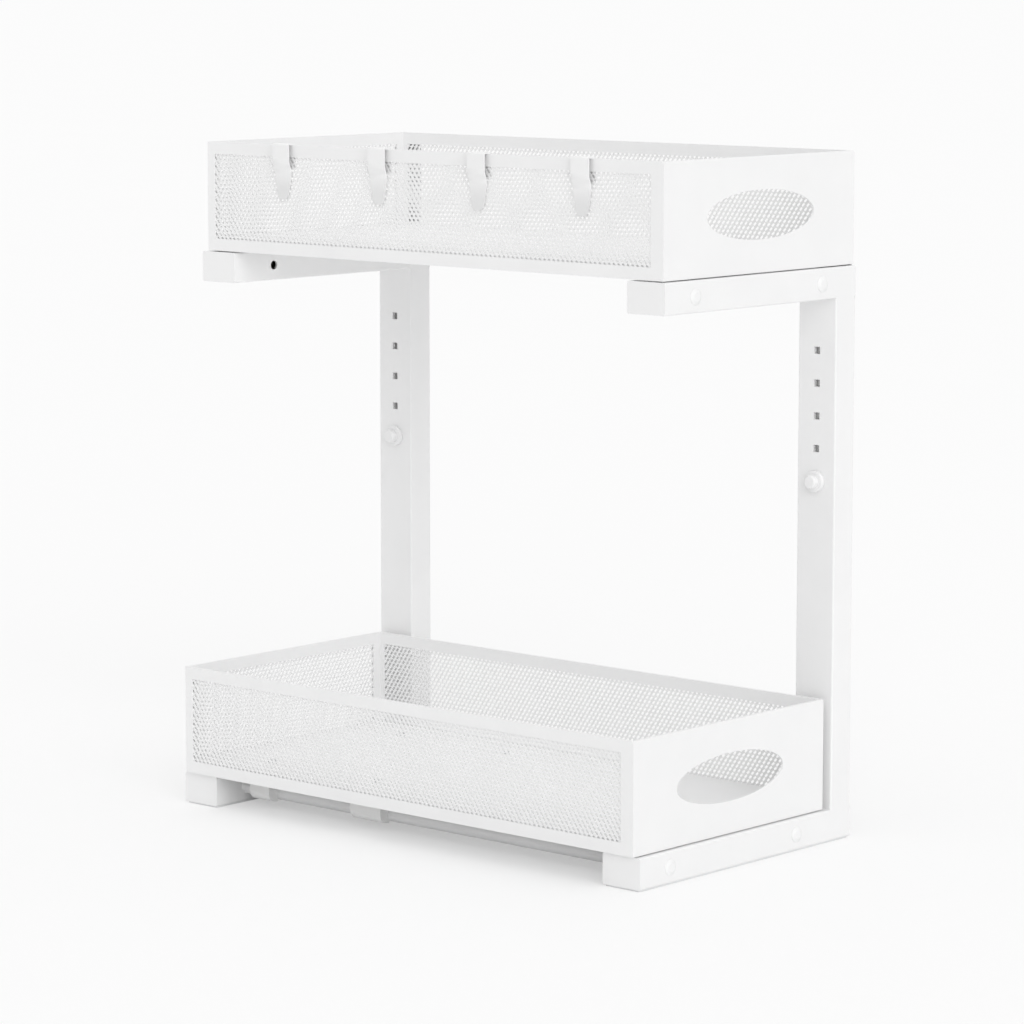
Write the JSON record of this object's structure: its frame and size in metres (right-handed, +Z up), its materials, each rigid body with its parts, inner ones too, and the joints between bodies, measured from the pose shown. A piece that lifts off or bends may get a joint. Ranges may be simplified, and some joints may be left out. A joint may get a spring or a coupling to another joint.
{
  "type": "under sink organizer",
  "caption": "Free-standing two-tier organizer with two mesh baskets on C-shaped tube side frames; the lower basket slides out and the upper one adjusts in height.",
  "frame": {"origin": "on the floor, under the centre of the organizer's bounding box", "axes": "+X along the baskets, towards the ends with the oval hand-holes; +Y towards the uprights, away from the open front; +Z up"},
  "size_m": [0.403, 0.215, 0.4448],
  "materials": {
    "white_powder_coat": "satin powder coat",
    "white_mesh": "satin powder coat on expanded metal",
    "white_plastic": "moulded, matt",
    "pale_rubber": "soft, matt",
    "spring_steel": "bright zinc",
    "nylon": "smooth nylon"
  },
  "bodies": {
    "base": {"left_foot": "white_powder_coat", "left_foot_end_caps": "white_plastic", "left_foot_pad": "pale_rubber", "left_slide_pad": "nylon", "left_outer_upright": "white_powder_coat", "left_knob_collar": "white_plastic", "left_knob_spring": "spring_steel", "right_foot": "white_powder_coat", "right_foot_end_caps": "white_plastic", "right_foot_pad": "pale_rubber", "right_slide_pad": "nylon", "right_outer_upright": "white_powder_coat", "right_knob_collar": "white_plastic", "right_knob_spring": "spring_steel", "front_slide_rod": "white_powder_coat", "rear_slide_rod": "white_powder_coat", "rod_bolts": "white_powder_coat"},
    "left_arm": {"left_arm": "white_powder_coat", "left_inner_upright": "white_powder_coat", "left_arm_end_caps": "white_plastic", "left_arm_screws": "white_powder_coat", "left_arm_pad": "pale_rubber", "left_backstop": "white_powder_coat"},
    "right_arm": {"right_arm": "white_powder_coat", "right_inner_upright": "white_powder_coat", "right_arm_end_caps": "white_plastic", "right_arm_screws": "white_powder_coat", "right_arm_pad": "pale_rubber", "right_backstop": "white_powder_coat"},
    "lower_basket": {"lower_end_panel": "white_powder_coat", "lower_front_border": "white_powder_coat", "lower_front_mesh": "white_mesh", "lower_rear_border": "white_powder_coat", "lower_rear_mesh": "white_mesh", "lower_left_border": "white_powder_coat", "lower_left_mesh": "white_mesh", "lower_floor_pan": "white_powder_coat", "front_left_glide": "nylon", "front_middle_glide": "nylon", "rear_left_glide": "nylon", "rear_middle_glide": "nylon", "glide_screws": "spring_steel"},
    "upper_basket": {"upper_end_panel": "white_powder_coat", "upper_front_border": "white_powder_coat", "upper_front_mesh": "white_mesh", "upper_rear_border": "white_powder_coat", "upper_rear_mesh": "white_mesh", "upper_left_border": "white_powder_coat", "upper_left_mesh": "white_mesh", "upper_floor_pan": "white_powder_coat"},
    "left_knob": {"left_knob_plunger": "white_plastic"},
    "right_knob": {"right_knob_plunger": "white_plastic"},
    "hook_1": {"rim_hook_1": "white_powder_coat"},
    "hook_2": {"rim_hook_2": "white_powder_coat"},
    "hook_3": {"rim_hook_3": "white_powder_coat"},
    "hook_4": {"rim_hook_4": "white_powder_coat"}
  },
  "joints": [
    {"name": "lower_basket_slide", "type": "slide", "parent": "base", "child": "lower_basket", "axis": [1, 0, 0], "range_m": [0, 0.2]},
    {"name": "left_height", "type": "slide", "parent": "base", "child": "left_arm", "axis": [0, 0, 1], "range_m": [0, 0.084]},
    {"name": "right_height", "type": "slide", "parent": "base", "child": "right_arm", "axis": [0, 0, 1], "range_m": [0, 0.084]},
    {"name": "upper_basket_lift", "type": "slide", "parent": "left_arm", "child": "upper_basket", "axis": [0, 0, 1], "range_m": [0, 0.08]},
    {"name": "hook_1_lift", "type": "slide", "parent": "upper_basket", "child": "hook_1", "axis": [0, 0, 1], "range_m": [0, 0.045]},
    {"name": "hook_2_lift", "type": "slide", "parent": "upper_basket", "child": "hook_2", "axis": [0, 0, 1], "range_m": [0, 0.045]},
    {"name": "hook_3_lift", "type": "slide", "parent": "upper_basket", "child": "hook_3", "axis": [0, 0, 1], "range_m": [0, 0.045]},
    {"name": "hook_4_lift", "type": "slide", "parent": "upper_basket", "child": "hook_4", "axis": [0, 0, 1], "range_m": [0, 0.045]},
    {"name": "left_knob_pull", "type": "slide", "parent": "base", "child": "left_knob", "axis": [0, -1, 0], "range_m": [0, 0.0012], "stiffness_N_per_m": 300, "springref_m": -0.002, "deforming": ["left_knob_spring"]},
    {"name": "right_knob_pull", "type": "slide", "parent": "base", "child": "right_knob", "axis": [0, -1, 0], "range_m": [0, 0.0012], "stiffness_N_per_m": 300, "springref_m": -0.002, "deforming": ["right_knob_spring"]}
  ],
  "couplings": [
    {"joint": "right_height", "follows": "left_height", "ratio": 1}
  ]
}
